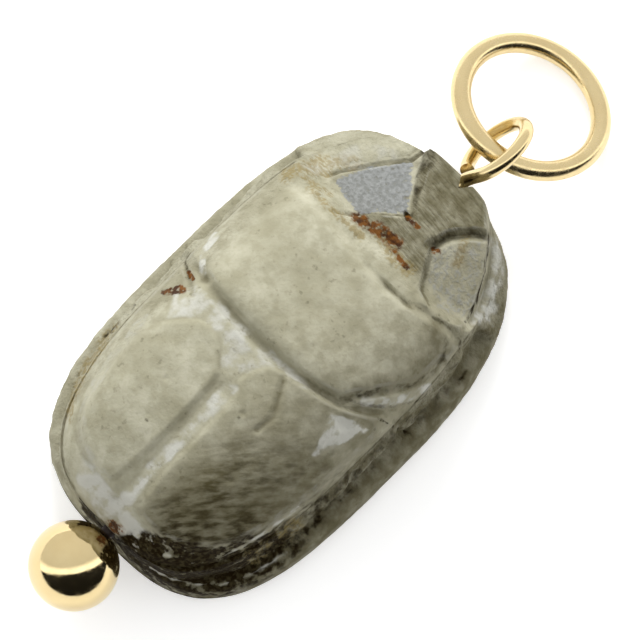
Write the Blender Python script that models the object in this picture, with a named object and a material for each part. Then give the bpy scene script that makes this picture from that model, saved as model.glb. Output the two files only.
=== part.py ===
"""A carved stone scarab amulet, pierced lengthwise and hung on a gold pin.

The stone lies on its flat underside, whose middle is the origin. The head points to +Y and the back to +Z.
A gold ball stops the pin at the tail. At the head the pin is turned into an eye, and a jump ring hangs in it
and leans down to the surface that the stone lies on.
"""

import math

import bmesh
import bpy
from mathutils import Vector

MM = 0.001
MERGE_DISTANCE = 0.001 * MM

# The stone, whose outline has its own fullness at each corner: first on the -X side, then on the +X side
BASE_LENGTH = 21.7 * MM
BASE_WIDTH = 13.7 * MM
BACK_HEIGHT = 8.8 * MM
PLATE_THICKNESS = 2.2 * MM
SIDE_SHELF = 1.15 * MM
TAIL_SHELF = 0.25 * MM
HEAD_SHELF = 0.1 * MM
TAIL_FULLNESS = (3.15, 3.3)
HEAD_FULLNESS = (3.3, 2.7)
WING_FULLNESS = 2.95
BORE_DIAMETER = 1.4 * MM
BORE_HEIGHT = 3.8 * MM
ROOF_OVER_BORE = 0.35 * MM
SHOULDER_OVER_BORE = 0.5 * MM
FORELEG_ABOVE_PLATE = 1.0 * MM

# Depths of the carving
COLLAR_GROOVE_DEPTH = 0.38 * MM
WING_GROOVE_DEPTH = 0.34 * MM
WING_EDGE_STEP = 0.32 * MM
SHIELD_LINE_DEPTH = 0.2 * MM
CLYPEUS_GROOVE_DEPTH = 0.36 * MM
LEG_RELIEF = 0.32 * MM

# Widths of the carving
COLLAR_GROOVE_HALF_WIDTH = 0.42 * MM
WING_GROOVE_HALF_WIDTH = 0.46 * MM
FINE_LINE_HALF_WIDTH = 0.46 * MM
CLYPEUS_GROOVE_HALF_WIDTH = 0.55 * MM
STEP_WIDTH = 0.5 * MM
LEG_HALF_WIDTH = 0.62 * MM

# Places of the carving on the back, as shares of the stone's half width (first) and half length (second)
COLLAR_REAR = -0.092
COLLAR_FRONT = 0.485
COLLAR_STRAIGHT_TO = 0.41
COLLAR_BEND_LEFT = 0.35
COLLAR_BEND_RIGHT = 1.25
WING_EDGE = (0.745, 0.872)
WING_GROOVE_FRONT = (-0.03, -0.30)
WING_GROOVE_REAR = (0.01, -0.88)
SHIELD_LINES = (
    ((-0.50, -0.13), (-0.06, -0.30)),
    ((0.16, -0.11), (0.0, -0.26)),
    ((-0.61, -0.30), (-0.40, -0.16)),
)
COLLAR_SIDE_LINE = ((0.76, 0.28), (0.60, 0.08))
HEAD_AXIS = 0.05
HEAD_HALF_WIDTHS = ((0.48, 0.74), (0.70, 0.56), (0.90, 0.36), (1.00, 0.18))
PLATE_HALF_WIDTHS = ((0.48, 0.36), (0.73, 0.12), (0.90, 0.31), (1.00, 0.33))
COLLAR_FRONT_BEND = 0.05
CHEEK_SLOPE = 0.42
CHEEK_GROOVE_FROM = 0.68
CHEEK_GROOVE_RUN_IN = 0.06

# Heights as shares of the back's rise over the shoulder, and the shape of its dome
HEAD_RISE = 0.48
COLLAR_DIP = 0.24
COLLAR_DIP_ROWS = (-0.1, 0.65)
DOME_FULLNESS = 3.0
DOME_ROUNDNESS = 0.6

# Legs on the side walls, as shares of the half length and of the wall above the plate
SIDE_LEGS = (
    ((0.46, 0.8), (0.14, 0.35)),
    ((0.05, 0.8), (-0.26, 0.35)),
    ((-0.22, 0.75), (-0.76, 0.4)),
)

# The wall from the underside's edge up to the shoulder: share of the shelf, then share of the plate's thickness,
# or past 1, of the wall above the plate
WALL_STEPS = (
    (0.26, 0.0),
    (0.05, 0.11),
    (0.0, 0.6),
    (0.2, 0.87),
    (0.72, 1.0),
    (0.97, 1.14),
    (0.90, 1.4),
    (0.86, 1.65),
    (0.88, 1.88),
    (1.0, 2.0),
)

# Gold
PIN_DIAMETER = 0.63 * MM
BALL_DIAMETER = 3.96 * MM
BALL_PLAY = 0.3 * MM
PIN_SIDE_SET = 0.2 * MM
BALL_HOLE_CLEARANCE = 0.05 * MM
PIN_DEPTH_IN_BALL = 1.1 * MM
EYE_DIAMETER = 3.84 * MM
EYE_NECK = 0.35 * MM
EYE_SIDE_SET = 0.3 * MM
EYE_LIFT = 0.2 * MM
EYE_LEAN = math.radians(60.0)
EYE_START = math.radians(150.0)
EYE_END = math.radians(-153.0)
RING_DIAMETER = 7.48 * MM
RING_WIRE_DIAMETER = 0.91 * MM
RING_CLEARANCE = 0.06 * MM
RING_BACK_SET = 0.11 * MM
RING_SIDE_SET = -0.26 * MM

# Facets
COLUMNS = 36
ROWS = 56
BORE_SIDES = 20
BALL_SIDES = 24
BALL_RINGS = 16
RING_SIDES = 10
RING_TURNS = 40
PIN_BEVEL_RESOLUTION = 3
EYE_POINTS = 34
NECK_POINTS = 9

HALF_LENGTH = BASE_LENGTH / 2
HALF_WIDTH = BASE_WIDTH / 2
SHOULDER_HEIGHT = BORE_HEIGHT + BORE_DIAMETER / 2 + SHOULDER_OVER_BORE
HEAD_FRONT_HEIGHT = BORE_HEIGHT + BORE_DIAMETER / 2 + ROOF_OVER_BORE
FORELEG_HEIGHT = PLATE_THICKNESS + FORELEG_ABOVE_PLATE


def clear_scene():
    for obj in list(bpy.data.objects):
        bpy.data.objects.remove(obj, do_unlink=True)


def make_material(name, colour, roughness, metallic):
    mat = bpy.data.materials.new(name)
    mat.use_nodes = True
    shader = mat.node_tree.nodes["Principled BSDF"]
    shader.inputs["Base Color"].default_value = (*colour, 1.0)
    shader.inputs["Roughness"].default_value = roughness
    shader.inputs["Metallic"].default_value = metallic
    return mat


def add_object(name, data, mat=None):
    obj = bpy.data.objects.new(name, data)
    bpy.context.scene.collection.objects.link(obj)
    if mat is not None:
        data.materials.append(mat)
    return obj


def add_bmesh(name, bm, mat=None, sharp_angle=40.0):
    """A smooth-shaded object of a closed shape, with edges sharp from an angle on."""
    mesh = bpy.data.meshes.new(name)
    bmesh.ops.recalc_face_normals(bm, faces=bm.faces)
    bm.to_mesh(mesh)
    bm.free()
    mesh.shade_smooth()
    mesh.set_sharp_from_angle(angle=math.radians(sharp_angle))
    return add_object(name, mesh, mat)


def as_cutter(obj):
    obj.hide_render = True
    obj.display_type = "WIRE"
    return obj


def cut(obj, cutter, name):
    modifier = obj.modifiers.new(name, "BOOLEAN")
    modifier.operation = "DIFFERENCE"
    modifier.object = cutter


def turn(bm, steps):
    """Turn a profile once round the Z axis into a closed shape."""
    bmesh.ops.spin(
        bm,
        geom=bm.verts[:] + bm.edges[:],
        cent=(0, 0, 0),
        axis=(0, 0, 1),
        angle=2 * math.pi,
        steps=steps,
        use_merge=True,
    )
    bmesh.ops.remove_doubles(bm, verts=bm.verts, dist=MERGE_DISTANCE)


def ease(value):
    """0 below 0, 1 above 1, and a smooth step between."""
    value = min(max(value, 0.0), 1.0)
    return value * value * (3.0 - 2.0 * value)


def mix(low, high, share):
    return low + (high - low) * share


def furrow(distance, half_width):
    """1 on a groove's middle line, and 0 from its half width on."""
    share = abs(distance) / half_width
    if share >= 1.0:
        return 0.0
    return (1.0 - share * share) ** 2


def segment_distance(place, start, end):
    run = end - start
    share = min(max((place - start).dot(run) / run.length_squared, 0.0), 1.0)
    return (place - start - run * share).length


def line_distance(x, y, line):
    """Distance in metres from a point to a line given by two places in shares of the stone."""
    (ax, ay), (bx, by) = line
    start = Vector((ax * HALF_WIDTH, ay * HALF_LENGTH))
    end = Vector((bx * HALF_WIDTH, by * HALF_LENGTH))
    return segment_distance(Vector((x, y)), start, end)


def width_at(widths, row):
    """A half width in shares, read between the rows where it is given."""
    if row <= widths[0][0]:
        return widths[0][1]
    for (row_a, width_a), (row_b, width_b) in zip(widths, widths[1:]):
        if row <= row_b:
            return mix(width_a, width_b, (row - row_a) / (row_b - row_a))
    return widths[-1][1]


def fullness(p, q):
    """The outline's squareness, which changes smoothly from corner to corner."""
    across = ease(p + 0.5)
    return mix(mix(*TAIL_FULLNESS, across), mix(*HEAD_FULLNESS, across), ease(q + 0.5))


def end_shelf(q):
    """How far the back's edge stands in from the plate's, at the ends."""
    return mix(TAIL_SHELF, HEAD_SHELF, ease(q + 0.5))


def on_oval(s, t):
    """Spread a place of the square from -1 to 1 over the stone's unit oval."""
    p = s * math.sqrt(1.0 - t * t / 2.0)
    q = t * math.sqrt(1.0 - s * s / 2.0)
    radius = math.hypot(p, q)
    if radius == 0.0:
        return 0.0, 0.0
    n = fullness(p, q)
    stretch = radius / (abs(p) ** n + abs(q) ** n) ** (1.0 / n)
    return p * stretch, q * stretch


def dome(x, y):
    """The uncarved back: a full dome over the shoulder, lower towards the head."""
    a = abs(x) / (HALF_WIDTH - SIDE_SHELF)
    b = abs(y) / (HALF_LENGTH - end_shelf(y / HALF_LENGTH))
    rise = max(1.0 - a**DOME_FULLNESS - b**DOME_FULLNESS, 0.0) ** DOME_ROUNDNESS
    from_row, to_row = COLLAR_DIP_ROWS
    dip = COLLAR_DIP * ease((y / HALF_LENGTH - from_row) / (to_row - from_row))
    return SHOULDER_HEIGHT + (BACK_HEIGHT - SHOULDER_HEIGHT) * rise * (1.0 - dip)


def collar_rear(x):
    """The row of the groove between the collar and the wing cases."""
    past = max(abs(x) / HALF_WIDTH - COLLAR_STRAIGHT_TO, 0.0)
    bend = COLLAR_BEND_LEFT if x < 0 else COLLAR_BEND_RIGHT
    return (COLLAR_REAR + bend * past * past) * HALF_LENGTH


def collar_front(x):
    return (COLLAR_FRONT + COLLAR_FRONT_BEND * (x / HALF_WIDTH) ** 2) * HALF_LENGTH


def head_height(x, y):
    """The head: a waisted middle plate, cheeks cut flat on both sides, and the forelegs below them.

    A wide groove runs along the plate on the +X side only.
    """
    row = y / HALF_LENGTH
    off_axis = x - HEAD_AXIS * HALF_WIDTH
    side = abs(off_axis)
    run = min(max((row - COLLAR_FRONT) / (1.0 - COLLAR_FRONT), 0.0), 1.0)
    rear = SHOULDER_HEIGHT + HEAD_RISE * (BACK_HEIGHT - SHOULDER_HEIGHT)
    plate = width_at(PLATE_HALF_WIDTHS, row) * HALF_WIDTH
    height = mix(rear, HEAD_FRONT_HEIGHT, run) - CHEEK_SLOPE * max(side - plate, 0.0)
    grooved = ease((row - CHEEK_GROOVE_FROM) / CHEEK_GROOVE_RUN_IN)
    height -= CLYPEUS_GROOVE_DEPTH * furrow(off_axis - plate, CLYPEUS_GROOVE_HALF_WIDTH) * grooved
    edge = width_at(HEAD_HALF_WIDTHS, row) * HALF_WIDTH
    return mix(height, FORELEG_HEIGHT, ease((side - edge) / STEP_WIDTH))


def wing_carving(x, y):
    """How far the carving lies below the dome behind the collar."""
    a = abs(x) / (WING_EDGE[0] * HALF_WIDTH)
    b = abs(y) / (WING_EDGE[1] * HALF_LENGTH)
    reach = (a**WING_FULLNESS + b**WING_FULLNESS) ** (1.0 / WING_FULLNESS)
    past_edge = (reach - 1.0) * WING_EDGE[0] * HALF_WIDTH
    depth = WING_EDGE_STEP * ease(past_edge / STEP_WIDTH + 0.5)
    inside = 1.0 - ease(past_edge / STEP_WIDTH + 0.5)
    middle = line_distance(x, y, (WING_GROOVE_FRONT, WING_GROOVE_REAR))
    depth += WING_GROOVE_DEPTH * furrow(middle, WING_GROOVE_HALF_WIDTH) * inside
    nearest = min(line_distance(x, y, line) for line in SHIELD_LINES)
    return depth + SHIELD_LINE_DEPTH * furrow(nearest, FINE_LINE_HALF_WIDTH)


def back_height(x, y):
    """The carved back, with the forelegs' shelf round the head."""
    height = dome(x, y)
    height -= wing_carving(x, y) * ease((collar_rear(x) - y) / STEP_WIDTH)
    height -= COLLAR_GROOVE_DEPTH * furrow(y - collar_rear(x), COLLAR_GROOVE_HALF_WIDTH)
    height -= SHIELD_LINE_DEPTH * furrow(line_distance(x, y, COLLAR_SIDE_LINE), FINE_LINE_HALF_WIDTH)
    before_collar = ease((y - collar_front(x)) / STEP_WIDTH + 0.5)
    return mix(height, min(head_height(x, y), height), before_collar)


def leg_relief(y, share):
    """How far the legs on a side wall stand out, at a share of the wall above the plate."""
    wall = SHOULDER_HEIGHT - PLATE_THICKNESS
    here = Vector((y, share * wall))
    relief = 0.0
    for (row_a, share_a), (row_b, share_b) in SIDE_LEGS:
        start = Vector((row_a * HALF_LENGTH, share_a * wall))
        end = Vector((row_b * HALF_LENGTH, share_b * wall))
        relief = max(relief, furrow(segment_distance(here, start, end), LEG_HALF_WIDTH))
    return relief * LEG_RELIEF


def wall_place(s, t, step):
    """A place on the wall: an edge point of the oval, at one of the wall's steps."""
    shelf, rise = WALL_STEPS[step]
    p, q = on_oval(s, t)
    top_x = p * (HALF_WIDTH - SIDE_SHELF)
    top_y = q * (HALF_LENGTH - end_shelf(q))
    x = p * (HALF_WIDTH - SIDE_SHELF * shelf)
    y = q * (HALF_LENGTH - end_shelf(q) * shelf)
    if rise <= 1.0:
        return Vector((x, y, rise * PLATE_THICKNESS))
    height = mix(PLATE_THICKNESS, back_height(top_x, top_y), rise - 1.0)
    if rise < 2.0:
        x += math.copysign(leg_relief(y, rise - 1.0), x) * abs(p) ** 2
    return Vector((x, y, height))


def stone_block():
    """A block in the unit square, with the wall's steps as its layers."""
    bm = bmesh.new()
    bmesh.ops.create_grid(bm, x_segments=COLUMNS, y_segments=ROWS, size=1.0)
    raised = bmesh.ops.extrude_face_region(bm, geom=bm.faces[:])["geom"]
    bmesh.ops.translate(bm, verts=[v for v in raised if isinstance(v, bmesh.types.BMVert)], vec=(0, 0, 1))
    walls = [e for e in bm.edges if abs(e.verts[0].co.z - e.verts[1].co.z) > 0.5]
    bmesh.ops.subdivide_edges(bm, edges=walls, cuts=len(WALL_STEPS) - 2, use_grid_fill=True)
    return bm


def build_scarab(mat):
    """The stone: a block spread over the oval, its wall stepped and its back carved, then bored."""
    bm = stone_block()
    last = len(WALL_STEPS) - 1
    under = [f for f in bm.faces if all(v.co.z < 0.5 / last for v in f.verts)]
    bmesh.ops.dissolve_faces(bm, faces=under, use_verts=True)
    for vert in bm.verts:
        s, t, level = vert.co
        if level > 1.0 - 0.5 / last:
            p, q = on_oval(s, t)
            x = p * (HALF_WIDTH - SIDE_SHELF)
            y = q * (HALF_LENGTH - end_shelf(q))
            vert.co = (x, y, back_height(x, y))
        else:
            vert.co = wall_place(s, t, round(level * last))
    scarab = add_bmesh("scarab", bm, mat, sharp_angle=60.0)
    cut(scarab, build_bore_cutter(), "bore")
    return scarab


def build_bore_cutter():
    """The drill that pierces the stone from tail to head."""
    bm = bmesh.new()
    bmesh.ops.create_cone(
        bm,
        cap_ends=True,
        segments=BORE_SIDES,
        radius1=BORE_DIAMETER / 2,
        radius2=BORE_DIAMETER / 2,
        depth=BASE_LENGTH * 1.2,
    )
    cutter = as_cutter(add_bmesh("bore_cutter", bm))
    cutter.rotation_euler = (math.pi / 2, 0, 0)
    cutter.location = (0, 0, BORE_HEIGHT)
    return cutter


def tail_face():
    """Where the tail's wall stands at the bore, the farthest out of the wall's steps there."""
    least = min(shelf for shelf, rise in WALL_STEPS if rise > 1.0)
    return -(HALF_LENGTH - TAIL_SHELF * least)


def ball_middle():
    return tail_face() - BALL_PLAY - BALL_DIAMETER / 2


def pin_tip():
    return ball_middle() + BALL_DIAMETER / 2 - PIN_DEPTH_IN_BALL


def build_ball(mat):
    """The stop ball, turned with a blind hole for the pin's end."""
    radius = BALL_DIAMETER / 2
    hole_radius = PIN_DIAMETER / 2 + BALL_HOLE_CLEARANCE
    hole_bottom = pin_tip() - BALL_HOLE_CLEARANCE - ball_middle()
    mouth = math.acos(hole_radius / radius)
    profile = []
    for i in range(BALL_RINGS + 1):
        angle = mix(-math.pi / 2, mouth, i / BALL_RINGS)
        profile.append((radius * math.cos(angle), radius * math.sin(angle)))
    profile += [(hole_radius, hole_bottom), (0.0, hole_bottom)]
    profile[0] = (0.0, -radius)
    bm = bmesh.new()
    places = [bm.verts.new((x, 0, z)) for x, z in profile]
    for start, end in zip(places, places[1:]):
        bm.edges.new((start, end))
    turn(bm, BALL_SIDES)
    ball = add_bmesh("stop_ball", bm, mat)
    ball.rotation_euler = (-math.pi / 2, 0, 0)
    ball.location = (PIN_SIDE_SET, ball_middle(), BORE_HEIGHT)
    return ball


def eye_radius():
    return (EYE_DIAMETER - PIN_DIAMETER) / 2


def eye_middle():
    return Vector((EYE_SIDE_SET, HALF_LENGTH + EYE_NECK + eye_radius(), BORE_HEIGHT + EYE_LIFT))


def eye_place(angle):
    """A place on the eye's middle line. Angle 0 is the far end, and the +X side is the high one."""
    across = Vector((math.cos(EYE_LEAN), 0, math.sin(EYE_LEAN)))
    return eye_middle() + eye_radius() * (math.cos(angle) * Vector((0, 1, 0)) + math.sin(angle) * across)


def pin_path():
    """The pin's middle line: straight through the stone off the bore's middle, then round neck and eye."""
    points = [Vector((PIN_SIDE_SET, pin_tip(), BORE_HEIGHT))]
    neck = Vector((PIN_SIDE_SET, HALF_LENGTH - EYE_NECK, BORE_HEIGHT))
    start = eye_place(EYE_START)
    heading = (eye_place(EYE_START - 0.01) - start).normalized()
    reach = (start - neck).length * 0.4
    first = neck + Vector((0, reach, 0))
    second = start - heading * reach
    for i in range(NECK_POINTS):
        u = i / NECK_POINTS
        points.append(
            neck * (1 - u) ** 3 + first * 3 * u * (1 - u) ** 2 + second * 3 * u * u * (1 - u) + start * u**3
        )
    for i in range(EYE_POINTS + 1):
        points.append(eye_place(mix(EYE_START, EYE_END, i / EYE_POINTS)))
    return points


def build_pin(mat):
    """The eye pin, a round wire along its path."""
    curve = bpy.data.curves.new("eye_pin", "CURVE")
    curve.dimensions = "3D"
    curve.bevel_depth = PIN_DIAMETER / 2
    curve.bevel_resolution = PIN_BEVEL_RESOLUTION
    curve.use_fill_caps = True
    spline = curve.splines.new("POLY")
    points = pin_path()
    spline.points.add(len(points) - 1)
    for target, place in zip(spline.points, points):
        target.co = (*place, 1.0)
    return add_object("eye_pin", curve, mat)


def ring_radius():
    return (RING_DIAMETER - RING_WIRE_DIAMETER) / 2


def ring_near_end():
    """The ring's wire inside the eye, lying on the eye's low side."""
    reach = eye_radius() - PIN_DIAMETER / 2 - RING_WIRE_DIAMETER / 2 / math.sin(EYE_LEAN) - RING_CLEARANCE
    middle = eye_middle()
    return middle.y - RING_BACK_SET, middle.z - reach * math.sin(EYE_LEAN)


def build_jump_ring(mat):
    """The jump ring, leaning from the eye down to the surface."""
    near_y, near_z = ring_near_end()
    lean = math.asin((near_z - RING_WIRE_DIAMETER / 2) / (2 * ring_radius()))
    bm = bmesh.new()
    ring = bmesh.ops.create_circle(bm, segments=RING_SIDES, radius=RING_WIRE_DIAMETER / 2)["verts"]
    for vert in ring:
        vert.co = (ring_radius() + vert.co.x, 0, vert.co.y)
    turn(bm, RING_TURNS)
    jump_ring = add_bmesh("jump_ring", bm, mat)
    jump_ring.rotation_euler = (-lean, 0, 0)
    middle_y = near_y + ring_radius() * math.cos(lean)
    middle_z = near_z - ring_radius() * math.sin(lean)
    jump_ring.location = (RING_SIDE_SET, middle_y, middle_z)
    return jump_ring


def main():
    clear_scene()
    stone = make_material("pale_stone", (0.5, 0.49, 0.4), 0.75, 0.0)
    gold = make_material("yellow_gold", (0.83, 0.66, 0.33), 0.14, 1.0)
    build_scarab(stone)
    build_ball(gold)
    build_pin(gold)
    build_jump_ring(gold)


main()
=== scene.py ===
"""A worn stone scarab amulet on a gold pin, dressed and photographed from above on a white table.

The stone is one block, spread over its oval, stepped along its wall and carved from above. The gold ball,
pin and ring are turned and swept again, finer than in the frame. Lengths are in millimetres until a mesh is
written.
"""

import logging
import math
from dataclasses import dataclass
from enum import Enum

import bmesh
import bpy
import numpy as np
from mathutils import Matrix, Vector


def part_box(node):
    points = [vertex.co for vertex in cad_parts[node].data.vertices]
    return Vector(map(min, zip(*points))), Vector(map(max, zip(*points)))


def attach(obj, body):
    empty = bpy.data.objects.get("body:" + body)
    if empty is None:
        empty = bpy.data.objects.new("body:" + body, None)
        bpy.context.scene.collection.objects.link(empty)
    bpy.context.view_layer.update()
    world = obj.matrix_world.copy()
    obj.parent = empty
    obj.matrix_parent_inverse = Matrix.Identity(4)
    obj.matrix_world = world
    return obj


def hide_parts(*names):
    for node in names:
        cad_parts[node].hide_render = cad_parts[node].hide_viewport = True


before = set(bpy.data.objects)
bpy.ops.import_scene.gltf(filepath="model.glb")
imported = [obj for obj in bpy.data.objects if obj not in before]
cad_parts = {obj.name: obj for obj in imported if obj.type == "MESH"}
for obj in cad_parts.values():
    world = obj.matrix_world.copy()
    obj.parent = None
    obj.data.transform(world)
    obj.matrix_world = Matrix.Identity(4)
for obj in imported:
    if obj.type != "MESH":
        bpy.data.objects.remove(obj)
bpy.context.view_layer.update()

log = logging.getLogger("scarab")
Array = np.ndarray
Socket = bpy.types.NodeSocket
Place = tuple[float, float]
Line = tuple[Place, ...]

MM = 0.001
MERGE_DISTANCE = 0.0005 * MM

# The photograph's viewing direction, as the shift across and along per millimetre of height over the bore
VIEW_SHIFT_ACROSS = -0.13
VIEW_SHIFT_ALONG = 0.148
BORE_HEIGHT = 3.8


class Mark(Enum):
    """What a vertex of the stone carries besides its place."""

    # soil, and painted shade in the carving's grooves, under its steps and on the tail's wall by the ball
    DIRT_AND_PAINTED_SHADE = "dirt_and_painted_shade"
    WORN = "worn"
    RUST = "rust"
    OCHRE = "ochre"
    SLATE = "slate"
    SAWN = "sawn"
    GRAIN = "grain"
    # olive tone, and painted shade: darker to the right, in hollows and grooves and on the walls
    OLIVE_AND_PAINTED_SHADE = "olive_and_painted_shade"
    STREAK = "streak"


# Small tools for shapes


def ease(value: Array) -> Array:
    """0 below 0, 1 above 1, and a smooth step between."""
    value = np.clip(value, 0.0, 1.0)
    return value * value * (3.0 - 2.0 * value)


def mix(low: Array, high: Array, share: Array) -> Array:
    """Go from low to high by a share."""
    return low + (high - low) * share


def furrow(distance: Array, half_width: float) -> Array:
    """1 on a groove's middle line, and 0 from its half width on."""
    share = np.clip(np.abs(distance) / half_width, 0.0, 1.0)
    return (1.0 - share * share) ** 2


def smoothed(line: Line, closed: bool, rounds: int = 3) -> Line:
    """Cut the corners of a line.

    Args:
        line: the line's places.
        closed: whether the last place joins the first.
        rounds: how often the corners are cut.

    Returns:
        The rounder line.
    """
    for _ in range(rounds):
        ends = zip(line, line[1:] + line[:1]) if closed else zip(line, line[1:])
        corners = []
        for (ax, ay), (bx, by) in ends:
            corners.append((ax * 0.75 + bx * 0.25, ay * 0.75 + by * 0.25))
            corners.append((ax * 0.25 + bx * 0.75, ay * 0.25 + by * 0.75))
        line = tuple(corners) if closed else (line[0], *corners, line[-1])
    return line


def line_distance(x: Array, y: Array, line: Line) -> Array:
    """Distance from each place to an open line.

    Args:
        x: places across.
        y: places along.
        line: the line's places.

    Returns:
        The distances.
    """
    least = np.full(x.shape, np.inf)
    for (ax, ay), (bx, by) in zip(line, line[1:]):
        run_x, run_y = bx - ax, by - ay
        share = np.clip(((x - ax) * run_x + (y - ay) * run_y) / (run_x**2 + run_y**2), 0.0, 1.0)
        least = np.minimum(least, np.hypot(x - ax - run_x * share, y - ay - run_y * share))
    return least


def groove(x: Array, y: Array, line: Line, half_width: float) -> Array:
    """1 on a line, and 0 from a half width away on."""
    return furrow(line_distance(x, y, line), half_width)


def outline_distance(x: Array, y: Array, outline: Line) -> Array:
    """Distance from each place to a closed outline, below 0 inside it.

    Args:
        x: places across.
        y: places along.
        outline: the outline's places, in order.

    Returns:
        The signed distances.
    """
    inside = np.zeros(x.shape, dtype=bool)
    for (ax, ay), (bx, by) in zip(outline, outline[1:] + outline[:1]):
        if ay != by:
            crossing = (bx - ax) * (y - ay) / (by - ay) + ax
            inside ^= ((ay > y) != (by > y)) & (x < crossing)
    away = line_distance(x, y, outline + outline[:1])
    return np.where(inside, -away, away)


class Noise:
    """Smooth random values in space, the same on each run."""

    SIDE = 48

    def __init__(self, seed: int) -> None:
        """Fill the lattice from a seed."""
        self.lattice = np.random.default_rng(seed).random((self.SIDE,) * 3) * 2.0 - 1.0

    def once(self, points: Array, size: float | tuple[float, float, float]) -> Array:
        """One layer of noise.

        Args:
            points: places, one a row.
            size: the size of its patches, one for all directions or one each.

        Returns:
            Values from -1 to 1.
        """
        at = points / np.asarray(size) + 100.0
        cell = np.floor(at).astype(int)
        part = at - cell
        part = part * part * (3.0 - 2.0 * part)
        value = np.zeros(len(points))
        for corner in np.ndindex(2, 2, 2):
            weight = np.prod(np.where(np.array(corner) == 1, part, 1.0 - part), axis=1)
            i, j, k = ((cell + corner) % self.SIDE).T
            value += weight * self.lattice[i, j, k]
        return value

    def layers(self, points: Array, size: float, count: int = 3) -> Array:
        """Layers of noise, each half the size and half the strength of the one before."""
        return sum(self.once(points, size / 2**i) / 2**i for i in range(count))


def write_mesh(name: str, bm: bmesh.types.BMesh, sharp_angle: float) -> bpy.types.Object:
    """Make an object of a closed shape.

    Args:
        name: the object's name.
        bm: the shape, in metres.
        sharp_angle: the angle in degrees from which an edge stays sharp.

    Returns:
        The linked object, smooth shaded.
    """
    bmesh.ops.recalc_face_normals(bm, faces=bm.faces)
    mesh = bpy.data.meshes.new(name)
    bm.to_mesh(mesh)
    bm.free()
    return link_mesh(name, mesh, sharp_angle)


def link_object(name: str, data: bpy.types.ID) -> bpy.types.Object:
    """Put a mesh, a light or a camera into the scene."""
    obj = bpy.data.objects.new(name, data)
    bpy.context.scene.collection.objects.link(obj)
    return obj


def link_mesh(name: str, mesh: bpy.types.Mesh, sharp_angle: float) -> bpy.types.Object:
    """Link a finished mesh as a smooth object, with edges sharp from an angle in degrees on."""
    mesh.shade_smooth()
    mesh.set_sharp_from_angle(angle=math.radians(sharp_angle))
    return link_object(name, mesh)


def spin_round(bm: bmesh.types.BMesh, steps: int) -> None:
    """Turn a profile once round the Z axis into a closed shape."""
    bmesh.ops.spin(
        bm, geom=bm.verts[:] + bm.edges[:], cent=(0, 0, 0), axis=(0, 0, 1), angle=2 * math.pi, steps=steps,
        use_merge=True,
    )
    bmesh.ops.remove_doubles(bm, verts=bm.verts, dist=MERGE_DISTANCE)


def dress(obj: bpy.types.Object, material: bpy.types.Material, node: str) -> bpy.types.Object:
    """Give a piece its finish, hang it under the root body and hide the frame's node that it replaces.

    Args:
        obj: the piece.
        material: its finish.
        node: the frame's node that it replaces.

    Returns:
        The piece.
    """
    obj.data.materials.append(material)
    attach(obj, "root")
    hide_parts(node)
    return obj


# Materials


def linear(red: int, green: int, blue: int) -> tuple[float, float, float, float]:
    """A colour as the shaders want it, from the 0 to 255 values that a picture shows."""
    return (*(((c / 255 + 0.055) / 1.055) ** 2.4 for c in (red, green, blue)), 1.0)


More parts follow.
